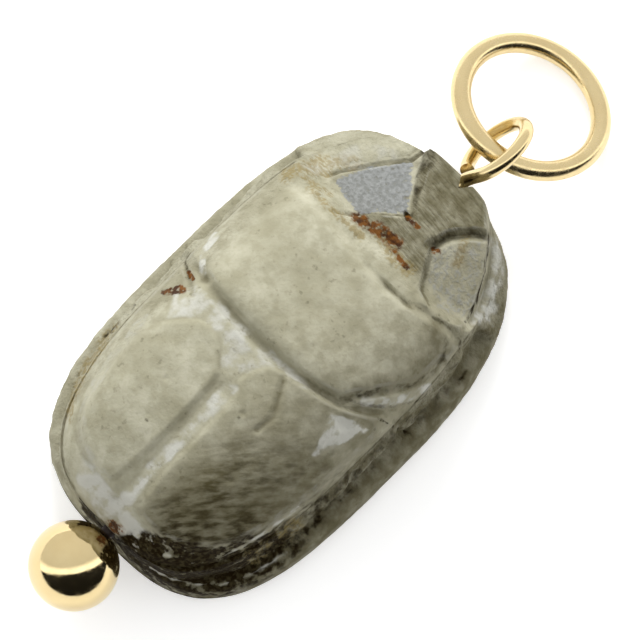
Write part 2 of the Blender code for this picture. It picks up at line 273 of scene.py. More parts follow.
class Graph:
    """Builds a material's nodes around its main shader."""

    def __init__(self, name: str) -> None:
        """Start a material with only the main shader and coordinates in millimetres."""
        self.material = bpy.data.materials.new(name)
        self.material.use_nodes = True
        self.nodes = self.material.node_tree.nodes
        self.links = self.material.node_tree.links
        self.shader = self.nodes["Principled BSDF"]
        coordinates = self.nodes.new("ShaderNodeTexCoord")
        self.place = self.turned(coordinates.outputs["Object"], scale=(1 / MM,) * 3)

    def link(self, source: Socket | float | tuple, target: Socket) -> None:
        """Link a socket, or set the target to a plain value."""
        if isinstance(source, Socket):
            self.links.new(source, target)
        else:
            target.default_value = source

    def turned(self, source: Socket, scale: tuple, angle: float = 0.0) -> Socket:
        """Stretch coordinates and turn them about Z by an angle in degrees."""
        node = self.nodes.new("ShaderNodeMapping")
        node.inputs["Scale"].default_value = scale
        node.inputs["Rotation"].default_value = (0.0, 0.0, math.radians(angle))
        self.link(source, node.inputs["Vector"])
        return node.outputs["Vector"]

    def brushed(self, angle: float, scale: tuple) -> Socket:
        """Coordinates turned about Z by an angle in degrees, then stretched."""
        return self.turned(self.turned(self.place, (1.0, 1.0, 1.0), angle), scale)

    def noise(self, scale: float, detail: float = 3.0, place: Socket | None = None) -> Socket:
        """Cloudy noise around 0.5.

        Args:
            scale: patches in a millimetre.
            detail: how many finer layers it has.
            place: the coordinates, or None for plain millimetres.

        Returns:
            The value.
        """
        node = self.nodes.new("ShaderNodeTexNoise")
        node.inputs["Scale"].default_value = scale
        node.inputs["Detail"].default_value = detail
        self.link(place or self.place, node.inputs["Vector"])
        return node.outputs["Fac"]

    def along(self) -> Socket:
        """The place along the bore, in millimetres."""
        node = self.nodes.new("ShaderNodeSeparateXYZ")
        self.link(self.place, node.inputs["Vector"])
        return node.outputs["Y"]

    def mark(self, mark: Mark) -> Socket:
        """What the stone's vertices carry."""
        node = self.nodes.new("ShaderNodeAttribute")
        node.attribute_name = mark.value
        return node.outputs["Fac"]

    def math(self, operation: str, first: Socket | float, second: Socket | float) -> Socket:
        """Arithmetic on two values or sockets."""
        node = self.nodes.new("ShaderNodeMath")
        node.operation = operation
        self.link(first, node.inputs[0])
        self.link(second, node.inputs[1])
        return node.outputs["Value"]

    def marked(self, mark: Mark, share: Socket) -> Socket:
        """What the stone's vertices carry, times a share."""
        return self.math("MULTIPLY", self.mark(mark), share)

    def span(
        self, value: Socket, low: float, high: float, to_low: float = 0.0, to_high: float = 1.0,
    ) -> Socket:
        """Spread a value's range from low to high over another, smoothly and clamped."""
        node = self.nodes.new("ShaderNodeMapRange")
        node.interpolation_type = "SMOOTHSTEP"
        for socket, number in zip(node.inputs[1:5], (low, high, to_low, to_high)):
            socket.default_value = number
        self.link(value, node.inputs["Value"])
        return node.outputs["Result"]

    def broken(self, mark: Mark, noise: Socket, most: float = 1.0) -> Socket:
        """A mark broken up by noise, so that half a mark covers half of its patch.

        Args:
            mark: which mark.
            noise: the noise, around 0.5.
            most: how far it covers where it is full.

        Returns:
            The cover.
        """
        ragged = self.marked(mark, self.span(noise, 0.32, 0.68, 0.3, 1.7))
        return self.span(ragged, 0.1, 0.9, 0.0, most)

    def blend(self, share: Socket, first: Socket | tuple, second: Socket | tuple) -> Socket:
        """Mix two colours."""
        node = self.nodes.new("ShaderNodeMix")
        node.data_type = "RGBA"
        self.link(share, node.inputs["Factor"])
        self.link(first, node.inputs["A"])
        self.link(second, node.inputs["B"])
        return node.outputs["Result"]

    def bump(self, height: Socket, depth: float, below: Socket | None = None) -> Socket:
        """Relief too fine for the mesh.

        Args:
            height: the relief, from 0 to 1.
            depth: its depth in millimetres.
            below: the normal that it is laid on, or None.

        Returns:
            The new normal.
        """
        node = self.nodes.new("ShaderNodeBump")
        node.inputs["Strength"].default_value = 1.0
        node.inputs["Distance"].default_value = depth * MM
        self.link(height, node.inputs["Height"])
        if below is not None:
            self.link(below, node.inputs["Normal"])
        return node.outputs["Normal"]


@dataclass(frozen=True)
class StoneFinish:
    """Worn pale stone, with soil and painted shade in its low places, olive patina and painted shade to the
    right, rust from old iron and bare white chips.
    """

    cream: tuple = linear(182, 179, 158)
    drab: tuple = linear(146, 142, 118)
    olive: tuple = linear(84, 78, 54)
    white: tuple = linear(200, 200, 192)
    slate: tuple = linear(122, 124, 122)
    slate_light: tuple = linear(144, 146, 145)
    ochre: tuple = linear(132, 115, 68)
    rust: tuple = linear(112, 68, 24)
    rust_dark: tuple = linear(56, 26, 10)
    dark_soil_and_shade: tuple = linear(31, 22, 6)
    streak_angle: float = 40.0
    saw_angle: float = 6.0
    saw_depth: float = 0.16
    grain_depth: float = 0.15
    streak_depth: float = 0.012
    pore_depth: float = 0.014
    dullness: tuple[float, float] = (0.55, 0.75)
    shine: float = 0.02

    def build(self) -> bpy.types.Material:
        """Make the material, layer by layer from the bare cream stone up to the rust."""
        graph = Graph("worn pale stone")
        clouds = graph.noise(0.42, 3.0)
        patches = graph.noise(1.5, 5.0)
        fine = graph.noise(5.5, 5.0)
        streaks = graph.noise(1.7, 7.0, graph.brushed(self.streak_angle, (2.1, 0.6, 1.0)))
        sawing = graph.noise(1.0, 4.0, graph.brushed(self.saw_angle, (1.0, 8.0, 1.0)))
        specks = graph.span(graph.noise(3.6, 6.0), 0.6, 0.72, 0.0, 0.4)
        clotted = graph.blend(graph.mark(Mark.STREAK), graph.noise(2.2, 8.0), streaks)
        slate = graph.blend(graph.span(fine, 0.35, 0.65), self.slate, self.slate_light)
        soil_and_shade_colour = graph.blend(graph.span(fine, 0.42, 0.64, 0.0, 0.42), self.dark_soil_and_shade, self.olive)
        rust = graph.blend(graph.span(graph.noise(2.4, 4.0), 0.4, 0.62), self.rust, self.rust_dark)
        layers = (
            (graph.span(clouds, 0.35, 0.65, 0.0, 0.6), self.drab),
            (graph.span(patches, 0.38, 0.68, 0.0, 0.55), self.drab),
            (graph.span(fine, 0.45, 0.75, 0.0, 0.25), self.drab),
            # olive tone and painted shade: darker to the right, in hollows and grooves and low on the walls
            (graph.marked(Mark.OLIVE_AND_PAINTED_SHADE, graph.span(patches, 0.3, 0.7, 0.6, 1.0)), self.olive),
            (graph.marked(Mark.STREAK, graph.span(streaks, 0.3, 0.7, 0.55, 1.1)), self.olive),
            (graph.broken(Mark.SLATE, fine, 0.95), slate),
            (graph.broken(Mark.OCHRE, fine, 0.6), self.ochre),
            (graph.broken(Mark.WORN, patches, 0.8), self.white),
            (graph.marked(Mark.SAWN, graph.span(sawing, 0.42, 0.66, 0.0, 0.5)), self.olive),
            (graph.math("MULTIPLY", specks, graph.span(clouds, 0.35, 0.65)), self.olive),
            # soil, and painted shade along the carving's lines and on the tail's wall
            (graph.broken(Mark.DIRT_AND_PAINTED_SHADE, clotted), soil_and_shade_colour),
            (graph.broken(Mark.RUST, graph.noise(4.5, 8.0), 0.92), rust),
        )
        ground = self.cream
        for share, colour in layers:
            ground = graph.blend(share, ground, colour)
        relief = (
            (graph.marked(Mark.SAWN, sawing), self.saw_depth),
            (graph.marked(Mark.GRAIN, fine), self.grain_depth),
            (streaks, self.streak_depth),
            (graph.noise(9.0, 4.0), self.pore_depth),
        )
        normal = None
        for height, depth in relief:
            normal = graph.bump(height, depth, normal)
        graph.link(ground, graph.shader.inputs["Base Color"])
        graph.link(graph.span(patches, 0.3, 0.7, *self.dullness), graph.shader.inputs["Roughness"])
        graph.shader.inputs["Specular IOR Level"].default_value = self.shine
        graph.link(normal, graph.shader.inputs["Normal"])
        return graph.material


@dataclass(frozen=True)
class GoldFinish:
    """Pale polished gold with faint wear, and grime with painted shade in bands round the axis of the bore,
    where the pin sits in the bore's mouths.
    """

    bright: tuple = linear(228, 209, 162)
    deep: tuple = linear(213, 190, 140)
    roughness: tuple[float, float] = (0.07, 0.17)
    grime_and_painted_shade: tuple = linear(38, 22, 10)
    grime_and_shade_bands: tuple[Place, ...] = ()
    grime_dullness: float = 0.4
    wave_depth: float = 0.012

    def build(self) -> bpy.types.Material:
        """Make the material, with grime and painted shade where the bands are."""
        graph = Graph("pale polished gold")
        clouds = graph.noise(0.7, 3.0)
        wear = graph.noise(3.0, 5.0)
        colour = graph.blend(clouds, self.bright, self.deep)
        metal = 1.0
        dull = graph.span(wear, 0.35, 0.7, *self.roughness)
        # dark bands paint grime and the shade in the bore's mouths onto the pin
        for start, end in self.grime_and_shade_bands:
            along = graph.along()
            entered = graph.span(along, start - 0.12, start)
            left = graph.span(along, end, end + 0.3, 1.0, 0.0)
            patchy = graph.span(wear, 0.3, 0.7, 0.5, 1.5)
            band = graph.math("MULTIPLY", entered, left)
            dirt_and_painted_shade = graph.span(graph.math("MULTIPLY", band, patchy), 0.3, 0.7)
            colour = graph.blend(dirt_and_painted_shade, colour, self.grime_and_painted_shade)
            metal = graph.math("MULTIPLY", metal, graph.span(dirt_and_painted_shade, 0.0, 1.0, 1.0, 0.0))
            dull = graph.math("ADD", dull, graph.math("MULTIPLY", dirt_and_painted_shade, self.grime_dullness))
        graph.link(colour, graph.shader.inputs["Base Color"])
        graph.link(metal, graph.shader.inputs["Metallic"])
        graph.link(dull, graph.shader.inputs["Roughness"])
        graph.link(graph.bump(graph.noise(1.1, 4.0), self.wave_depth), graph.shader.inputs["Normal"])
        return graph.material


# What the stone carries and where shade is painted on it, in the photograph's places


@dataclass(frozen=True)
class Patch:
    """A patch of colour, some of them painted shade, laid along lines or filling an outline.

    A strength above 1 keeps the patch whole where noise breaks it up.
    """

    strength: float
    shapes: tuple
    soft: float
    filled: bool = False


def strokes(strength: float, *lines: tuple, soft: float = 1.0) -> Patch:
    """A patch along lines, each given by its places and its radius, with an edge soft in shares of that."""
    return Patch(strength, lines, soft)


def area(strength: float, soft: float, *outline: Place) -> Patch:
    """A patch inside an outline, with an edge soft over some millimetres."""
    return Patch(strength, outline, soft, filled=True)


TAIL_CORNER = (
    (1.5, -9.74), (2.7, -8.87), (3.74, -8.17), (4.35, -7.3), (4.78, -6.35), (5.13, -5.26), (5.39, -3.96),
    (5.57, -2.2), (5.65, -0.9), (6.17, -0.26), (6.39, -2.0), (6.45, -4.17), (6.5, -5.7), (6.4, -7.0),
    (6.1, -8.3), (5.5, -9.5), (4.5, -10.4), (2.83, -11.0), (1.3, -11.2), (0.87, -10.6),
)
CORNER_DIRT = ((-10.8, -7.6, -6.0, -4.6, 0.5), (1.7, 1.5, 1.05, 0.62, 0.42))
CORNER_GAPS = (strokes(0.65, ((5.35, -7.4), (5.5, -6.4), 0.3), ((5.6, -5.6), (5.7, -4.6), 0.3), soft=2.0),)
# Soil, and painted shade in the carving's grooves and under its steps
DIRT_AND_PAINTED_SHADE = (
    # painted shade in the crescent's groove
    strokes(0.35, ((3.3, 0.45), (4.2, 0.9), (4.95, 1.6), (5.62, 2.6), (5.8, 3.7), (5.6, 5.1), 0.09)),
    # painted shade under the collar's right front edge
    strokes(0.4, ((5.6, 5.1), (5.0, 5.68), (4.3, 5.75), (3.2, 5.55), (2.6, 5.4), 0.08), soft=1.4),
    strokes(0.7, ((5.0, 0.85), (6.6, 1.3), 0.06)),
    # painted shade at the clypeus's left border
    strokes(0.5, ((-1.6, 10.4), (-1.25, 9.6), 0.14), soft=1.8),
    strokes(0.9, ((-0.6, 8.05), (-0.3, 7.85), 0.12)),
    # painted shade in the right cheek's groove
    strokes(0.36, ((1.22, 7.75), (1.5, 8.6), (2.1, 9.35), (2.6, 9.75), 0.2), soft=1.6),
    strokes(0.34, ((5.9, 0.5), (6.2, 2.8), (6.1, 4.6), 0.4), ((5.9, -4.0), (6.0, 0.5), 0.5), soft=1.5),
    strokes(0.5, ((-2.06, -6.1), (-2.0, -6.1), 0.06), ((0.62, -3.3), (0.68, -3.3), 0.05), soft=1.6),
    strokes(0.6, ((-5.95, -3.0), (-5.9, -6.0), (-5.4, -8.0), 0.04), ((-5.9, -0.1), (-5.1, -0.5), 0.05)),
    strokes(0.7, ((6.0, -7.4), (6.25, -5.5), (6.35, -3.0), (6.4, 0.0), (6.35, 3.0), (6.2, 5.2), 0.05)),
    # painted shade under the head's right edge
    strokes(0.55, ((2.75, 9.85), (3.65, 8.6), (4.35, 7.35), (4.6, 6.43), 0.07)),
    strokes(0.4, ((-1.9, 10.7), (-1.4, 10.2), 0.3), soft=1.8),
    strokes(0.42, ((2.0, -8.9), (3.2, -8.1), (4.3, -6.4), 0.8), soft=2.0),
    # painted shadow along the crescent's inner side
    strokes(0.42, ((4.6, 5.3), (5.05, 4.6), (5.1, 3.6), (4.8, 2.7), (4.2, 1.9), (3.6, 1.0), 0.15), soft=1.8),
    strokes(0.3, ((2.6, -4.8), (4.2, -2.6), 1.2), ((1.4, -8.2), (3.2, -5.8), 1.2), soft=2.0),
    # painted shade along the clypeus's left border
    strokes(0.4, ((-1.74, 10.9), (-1.28, 9.75), (-0.76, 8.9), (-0.26, 8.15), 0.15), soft=1.5),
)
RIMS = (strokes(
    1.0, ((4.45, -8.0), (4.7, -7.2), (4.92, -6.3), (5.22, -4.3), 0.07), ((2.6, -9.8), (2.8, -9.7), 0.12),
    (
        (2.6, -10.75), (3.5, -10.5), (4.55, -9.85), (5.25, -9.15), (5.7, -8.5), (6.02, -7.5), (6.22, -6.1),
        0.07,
    ),
    soft=1.4,
),)
WORN = (
    area(
        1.0, 0.3, (3.3, -0.4), (4.2, 0.0), (4.95, 0.2), (4.6, -0.8), (4.35, -1.5), (4.05, -2.2),
        (3.7, -1.5),
    ),
    area(
        0.45, 0.4, (-4.57, -2.43), (-3.39, -1.3), (-2.17, -1.5), (-1.22, -2.55), (-0.74, -2.15), (0.0, -0.8),
        (1.74, -0.5), (2.6, -0.2), (-4.35, -0.3), (-5.2, -1.3),
    ),
    strokes(0.55, ((-0.5, -2.7), (-0.4, -7.0), (-0.3, -9.5), 0.32), soft=1.4),
    strokes(0.75, ((-0.3, -6.2), (-0.22, -9.6), 0.16)),
    area(0.95, 0.8, (-2.8, -9.3), (0.0, -9.45), (2.6, -9.6), (2.2, -10.3), (0.9, -10.6), (-1.9, -10.4)),
    strokes(
        0.28, ((-5.2, -3.0), (-5.0, -5.2), (-4.65, -7.0), (-4.15, -8.0), (-3.3, -8.8), (-1.7, -9.3), 0.22),
    ),
    strokes(0.55, ((-5.65, 1.6), (-5.45, 0.6), (-4.9, 0.1), 0.14)),
    strokes(0.6, ((5.45, 3.3), (5.2, 2.4), (4.7, 1.6), (4.0, 0.9), 0.22)),
    area(0.3, 0.5, (-5.3, 6.3), (-4.3, 8.6), (-3.0, 10.0), (-2.3, 9.7), (-4.0, 7.2), (-4.4, 6.4)),
    area(0.55, 0.5, (2.9, 10.4), (4.6, 8.9), (5.6, 7.2), (4.9, 6.6), (3.9, 8.7), (2.8, 9.9)),
)
RUST = (strokes(
    1.1, ((-5.45, -1.75), (-4.98, -1.12), 0.13), ((-5.3, -0.36), (-4.95, -0.46), 0.06),
    ((-1.96, 6.35), (-1.0, 6.6), 0.2), ((-1.0, 6.6), (0.1, 6.75), 0.28), ((0.2, 6.45), (1.2, 6.3), 0.09),
    ((-0.35, 7.92), (0.26, 7.92), 0.1), ((1.45, 7.7), (1.6, 7.8), 0.12), ((0.1, -10.45), (0.5, -10.4), 0.2),
    soft=1.9,
),)
OCHRE = (
    strokes(0.75, ((-5.4, 5.6), (-5.0, 6.4), (-4.3, 6.9), 0.3), ((-4.9, 7.0), (-3.8, 8.0), 0.3), soft=1.8),
    strokes(
        0.65, ((-5.9, -4.4), (-5.55, -6.4), (-5.0, -7.7), (-4.4, -8.5), 0.22),
        ((-4.2, 5.9), (-1.2, 5.9), 0.2), ((2.1, 9.0), (2.6, 8.0), 0.25), ((-0.6, 6.4), (1.3, 6.3), 0.3),
        ((-5.0, 6.8), (-4.0, 7.6), 0.2), ((-4.9, 6.0), (-3.4, 6.3), 0.16),
        ((5.35, -7.4), (5.6, -5.0), 0.4), soft=1.5,
    ),
)
SLATE = (
    area(2.4, 0.3, (-2.0, 9.75), (-1.45, 9.2), (-0.5, 8.04), (-2.17, 6.6), (-3.65, 6.85), (-3.6, 7.3)),
    area(0.32, 0.3, (2.7, 9.7), (4.3, 7.4), (4.5, 6.5), (3.3, 6.0), (2.2, 6.6), (1.4, 7.8)),
)
# the collar's front, where hollows get no painted shade and ridges no wear
FRONT_WITHOUT_HOLLOW_MARKS = (area(0.75, 0.6, (-6.0, 4.6), (1.5, 4.6), (2.5, 6.6), (-6.0, 6.9)),)
HEAD_DUSK = (area(
    0.8, 0.3, (-2.0, 10.9), (1.6, 10.9), (2.4, 9.7), (1.2, 7.9), (1.8, 6.8), (1.6, 5.6), (-2.4, 5.8),
    (-1.6, 6.9), (-0.3, 8.0),
),)
# Olive tone and painted shade on the back
OLIVE_AND_PAINTED_SHADE = (
    # painted shadow along the crescent's inner side
    strokes(
        0.75, ((3.8, 5.25), (4.8, 4.9), (4.85, 4.4), (4.75, 3.4), (4.25, 2.3), (3.5, 1.3), 0.5), soft=1.6,
    ),
    # an olive strip along the left cut's outer edge
    strokes(0.5, ((-3.75, 7.0), (-1.9, 9.9), 0.25), soft=1.2),
    # painted shade in the right cheek's groove
    strokes(0.7, ((1.25, 7.7), (1.55, 8.65), (2.15, 9.4), (2.7, 9.8), 0.25), soft=1.2),
)

# Chips and pits on the back: across, along, radius and depth
CHIPS = (
    (1.5, -9.95, 0.75, 0.16), (2.3, -9.75, 0.4, 0.18), (0.2, -10.2, 0.5, 0.12), (-1.6, -9.9, 0.6, 0.06),
    (4.0, -0.35, 0.5, 0.16), (4.35, -1.5, 0.45, 0.12), (4.85, 0.25, 0.35, 0.16), (3.2, 0.1, 0.25, 0.12),
    (-2.2, -5.9, 0.14, 0.07), (-2.75, -4.3, 0.1, 0.05), (0.65, -3.05, 0.2, 0.08), (2.3, -5.5, 0.2, 0.07),
    (-1.25, 9.9, 0.3, 0.12), (-0.5, 8.0, 0.2, 0.14), (-1.2, 5.75, 0.3, 0.1), (-4.6, 5.9, 0.5, 0.14),
    (-3.6, 5.95, 0.35, 0.1), (-2.7, 5.8, 0.3, 0.08), (3.2, 6.2, 0.3, 0.08), (-5.0, 7.0, 0.35, 0.1),
    (5.1, 5.0, 0.35, 0.1), (-4.4, -8.6, 0.35, 0.08), (-4.75, -7.8, 0.3, 0.08), (3.3, -9.5, 0.5, 0.12),
)


@dataclass
class Skin:
    """The stone's vertices as the photograph shows them, with a noise that frays the patches' edges.

    Lines whose radius is under the thin one fray less.
    """

    across: Array
    along: Array
    fray: Array
    thin: float = 0.25

    def inside(self, outline: Line, soft: float) -> Array:
        """How far each vertex is inside an outline, from 0 to 1 over its soft edge."""
        away = outline_distance(self.across, self.along, outline) + self.fray
        return 1.0 - ease(away / soft + 0.5)

    def near(self, line: tuple, soft: float) -> Array:
        """How near each vertex is to a line that ends in its radius, from 0 to 1."""
        radius = line[-1]
        away = line_distance(self.across, self.along, line[:-1])
        away = away + self.fray * min(radius / self.thin, 1.0)
        return 1.0 - ease((away / radius - 1.0) / soft + 0.5)

    def cover(self, patches: tuple[Patch, ...]) -> Array:
        """The strongest of some patches at each vertex."""
        most = np.zeros(len(self.across))
        for patch in patches:
            if patch.filled:
                share = self.inside(patch.shapes, patch.soft)
            else:
                share = np.maximum.reduce([self.near(line, patch.soft) for line in patch.shapes])
            most = np.maximum(most, patch.strength * share)
        return most


# The stone


@dataclass
class Scarab:
    """The carved stone.

    Places on the back are (across, along) in millimetres as the photograph's direction shows them, from the
    middle of the underside raised to the bore.
    """

    finish: bpy.types.Material
    columns: int = 180
    rows: int = 286
    levels: int = 22
    plate_thickness: float = 2.2
    side_shelf: float = 1.15
    tail_shelf: float = 0.06
    head_shelf: float = 0.1
    shoulder: float = 5.0
    foreleg: float = 3.2
    foreleg_rear: float = 5.5
    bore_diameter: float = 1.4
    bore_sides: int = 48
    tail_fullness: Place = (3.15, 3.3)
    head_fullness: Place = (3.3, 2.7)
    dome_fullness: float = 3.0
    dome_roundness: float = 0.6
    collar_dip: float = 0.24
    collar_groove: float = 0.36
    wing_step: float = 0.3
    wing_rise: float = 0.13
    middle_groove: float = 0.15
    fine_line: float = 0.14
    crescent_groove: float = 0.34
    shield_groove: float = 0.1
    collar_drop: float = 0.16
    left_cheek_groove: float = 0.24
    right_cheek_groove: float = 0.42
    leg_relief: float = 0.3
    roughness: float = 0.024
    collar: Line = (
        (-4.78, 0.04), (-3.48, -0.17), (-1.74, -0.26), (0.0, -0.26), (1.3, -0.13), (2.61, 0.13), (3.57, 0.48),
        (4.35, 0.96), (5.0, 1.61), (5.52, 2.35), (5.74, 3.3), (5.74, 4.3), (5.52, 5.09), (5.09, 5.57),
        (4.35, 5.7), (3.26, 5.48), (2.17, 5.22), (1.09, 5.13), (0.0, 5.22), (-1.3, 5.39), (-3.04, 5.57),
        (-4.35, 5.57), (-5.22, 5.04), (-5.65, 3.87), (-5.74, 2.35), (-5.52, 0.96),
    )
    wings: Line = (
        (-4.52, -0.48), (-5.13, -2.22), (-5.13, -3.96), (-4.91, -5.7), (-4.52, -7.22), (-4.0, -8.26),
        (-3.22, -8.87), (-1.74, -9.17), (0.0, -9.35), (1.74, -9.3), (2.83, -8.96), (3.74, -8.3),
        (4.39, -7.3), (4.83, -6.13), (5.17, -4.61), (5.39, -3.09), (5.52, -1.35), (5.57, 0.17), (5.57, 1.6),
        (-4.52, 1.2),
    )
    left_wing: Line = (
        (-3.39, -1.22), (-2.26, -1.48), (-1.65, -2.3), (-1.17, -2.61), (-1.09, -9.13), (-1.74, -9.13),
        (-3.22, -8.8), (-4.0, -8.2), (-4.5, -7.2), (-4.85, -5.7), (-4.95, -3.96), (-4.85, -3.1),
        (-4.52, -2.52),
    )
    right_wing: Line = (
        (-0.09, -0.78), (-0.65, -2.09), (-0.1, -2.6), (0.05, -9.3), (1.74, -9.26), (2.83, -8.9), (3.7, -8.25),
        (4.35, -7.3), (4.8, -6.1), (5.12, -4.6), (5.35, -3.1), (5.5, -1.3), (5.5, 0.3), (4.8, 0.85),
        (3.5, 0.2), (1.7, -0.2), (0.78, -0.4),
    )
    crescent: Line = (
        (5.13, 4.52), (5.15, 3.65), (4.83, 2.7), (4.26, 1.91), (3.65, 1.04), (3.2, 0.5),
    )
    head: Line = (
        (-4.1, 5.3), (-4.0, 6.6), (-3.83, 7.35), (-2.7, 9.0), (-1.96, 9.87), (-1.83, 10.9), (0.0, 11.2),
        (1.09, 11.2), (1.75, 10.65), (2.7, 9.78), (3.65, 8.6), (4.35, 7.35), (4.61, 6.43), (4.6, 5.3),
    )
    clypeus: Line = (
        (-1.9, 11.2), (-1.3, 9.65), (-0.78, 8.87), (-0.26, 8.09), (-1.65, 6.96), (-2.17, 6.26), (-3.0, 5.7),
        (-3.4, 4.4), (3.8, 4.4), (3.4, 5.6), (2.17, 6.1), (1.65, 7.0), (1.17, 7.87), (1.48, 8.61),
        (2.09, 9.39), (2.6, 9.83), (1.74, 10.65), (1.2, 11.2),
    )
    front_edge: Line = (
        (-5.8, 6.1), (-5.2, 5.9), (-4.35, 5.7), (-1.3, 5.46), (0.0, 5.3), (1.1, 5.2), (2.2, 5.3), (3.3, 5.55),
        (4.4, 5.85), (5.1, 6.1), (5.8, 6.4),
    )
    wall_steps: Line = (
        (0.26, 0.0), (0.12, 0.03), (0.05, 0.11), (0.01, 0.3), (0.0, 0.6), (0.08, 0.8), (0.2, 0.9),
        (0.5, 0.97), (0.74, 1.0), (0.93, 1.06), (0.97, 1.14), (0.92, 1.4), (0.88, 1.65), (0.88, 1.85),
        (0.93, 1.96), (1.0, 2.0),
    )
    foreleg_steps: Line = (
        (0.26, 0.0), (0.12, 0.03), (0.05, 0.11), (0.01, 0.3), (0.0, 0.6), (0.02, 0.8), (0.05, 0.9),
        (0.1, 0.97), (0.15, 1.0), (0.22, 1.1), (0.3, 1.2), (0.42, 1.4), (0.58, 1.6), (0.75, 1.8),
        (0.88, 1.92), (1.0, 2.0),
    )
    side_legs: tuple[Line, ...] = (
        ((0.46, 0.8), (0.14, 0.35)),
        ((0.05, 0.8), (-0.26, 0.35)),
        ((-0.22, 0.75), (-0.76, 0.4)),
    )
    left_cheek_line: Line = ((-1.74, 10.9), (-1.28, 9.75), (-0.76, 8.9), (-0.26, 8.15))
    right_cheek_line: Line = ((1.22, 7.75), (1.5, 8.6), (2.13, 9.4), (2.75, 9.85))
    shoulder_line: Line = ((-5.9, -0.1), (-5.1, -0.5), (-4.5, -0.9))
    shield_line: Line = ((0.78, -0.7), (1.65, -2.22), (1.57, -3.09))
    plate_slope: Line = ((5.2, 7.5), (8.0, 6.25), (11.0, 4.9))
    waist: float = 6.1
    notch_depth: float = 0.55
    notch_place: float = 0.55
    notch_half_width: float = 0.42
    fray: float = 0.12
    hollow_reach: float = 0.16
    hollow_depth: float = 0.035
    grit_depth: float = 0.06
    border_inset: float = 1.1
    border_depth: float = 0.22
    row_spacing: float = 2.3
    row_reach: float = 3.6
    row_depth: float = 0.16
    stroke_spacing: float = 1.5
    stroke_span: Place = (0.65, 1.6)
    stroke_lean: float = 0.35
    stroke_depth: float = 0.18
    strokes_to: float = 8.4

    def __post_init__(self) -> None:
        """Take the stone's main sizes from the frame, and seed its noise."""
        low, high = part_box("scarab")
        self.half_width = (high[0] - low[0]) / 2 / MM
        self.half_length = (high[1] - low[1]) / 2 / MM
        self.back = high[2] / MM
        self.noise = Noise(7)

    def seen(self, x: Array, y: Array, z: Array) -> tuple[Array, Array]:
        """Where the photograph shows a place, across and along."""
        rise = z - BORE_HEIGHT
        return x + VIEW_SHIFT_ACROSS * rise, y + VIEW_SHIFT_ALONG * rise

    def on_oval(self, s: Array, t: Array) -> tuple[Array, Array]:
        """Spread places of the square from -1 to 1 over the unit oval, whose corners differ in fullness."""
        p = s * np.sqrt(1.0 - t * t / 2.0)
        q = t * np.sqrt(1.0 - s * s / 2.0)
        to_right = ease(p + 0.5)
        n = mix(mix(*self.tail_fullness, to_right), mix(*self.head_fullness, to_right), ease(q + 0.5))
        radius = np.hypot(p, q)
        reach = np.maximum((np.abs(p) ** n + np.abs(q) ** n) ** (1.0 / n), 1e-9)
        return p * radius / reach, q * radius / reach

    def end_shelf(self, q: Array) -> Array:
        """How far the back's edge stands in from the plate's, at the ends."""
        return mix(self.tail_shelf, self.head_shelf, ease(q + 0.5))

    def pin_notch(self, p: Array, q: Array) -> Array:
        """How far the front of the head is broken back where the pin comes out."""
        x = p * self.half_width
        share = np.clip(1.0 - np.abs(x - self.notch_place) / self.notch_half_width, 0.0, 1.0)
        return self.notch_depth * share * ease((q - 0.88) / 0.1)

    def dome(self, x: Array, y: Array) -> Array:
        """The uncarved back: a full dome over the shoulder, lower towards the head."""
        a = np.abs(x) / (self.half_width - self.side_shelf)
        b = np.abs(y) / (self.half_length - self.end_shelf(y / self.half_length))
        rise = np.clip(1.0 - a**self.dome_fullness - b**self.dome_fullness, 0.0, 1.0) ** self.dome_roundness
        dip = self.collar_dip * ease((y / self.half_length + 0.1) / 0.75)
        return self.shoulder + (self.back - self.shoulder) * rise * (1.0 - dip)

    def head_height(self, across: Array, along: Array) -> Array:
        """The head: a sawn middle plate, a flat cut on each side of it and the forelegs below."""
        plate = np.interp(along, *zip(*self.plate_slope))
        left = self.waist - 0.06 - 0.4 * (-0.93 * (across + 0.3) + 0.36 * (along - 8.05))
        right = self.waist - 0.1 - 0.38 * (0.95 * (across - 1.3) + 0.3 * (along - 7.9))
        facet = np.where(across < 0.4, left, right)
        off_plate = outline_distance(across, along, self.clypeus)
        height = mix(plate, np.minimum(plate - 0.04, facet), ease(off_plate / 0.14 + 0.5))
        height -= self.left_cheek_groove * groove(across, along, self.left_cheek_line, 0.26)
        height -= self.right_cheek_groove * groove(across, along, self.right_cheek_line, 0.34)
        height = mix(height, plate - 0.08, 0.85 * ease((6.7 - along) / 1.2))
        off_head = outline_distance(across, along, self.head)
        forelegs = self.foreleg - 0.25 * ease((off_head - 0.4) / 1.6)
        forelegs = mix(forelegs, self.foreleg_rear, ease((7.8 - along) / 2.0))
        return mix(height, forelegs, ease((off_head + 0.08) / 0.34))

    def carved(self, x: Array, y: Array) -> Array:
        """The carved back's height at each place."""
        height = self.dome(x, y)
        across, along = self.seen(x, y, height)
        ragged = self.fray * self.noise.once(np.column_stack((x, y, x)), 0.9)
        for _ in range(2):
            edge = np.interp(across, *zip(*self.front_edge)) + ragged
            to_head = ease((along - edge) / np.interp(across, (1.0, 3.0), (1.5, 0.8)) + 0.3)
            lower = mix(height, np.minimum(self.head_height(across, along), height), to_head)
            across, along = self.seen(x, y, lower)
        height = height + self.wing_relief(across, along) - self.collar_relief(across, along)
        height -= self.crescent_groove * groove(across, along, smoothed(self.crescent, False), 0.3)
        height -= self.fine_line * groove(across, along, self.shoulder_line, 0.2)
        height -= self.shield_groove * groove(across, along, self.shield_line, 0.25)
        return mix(height, np.minimum(self.head_height(across, along), height), to_head)

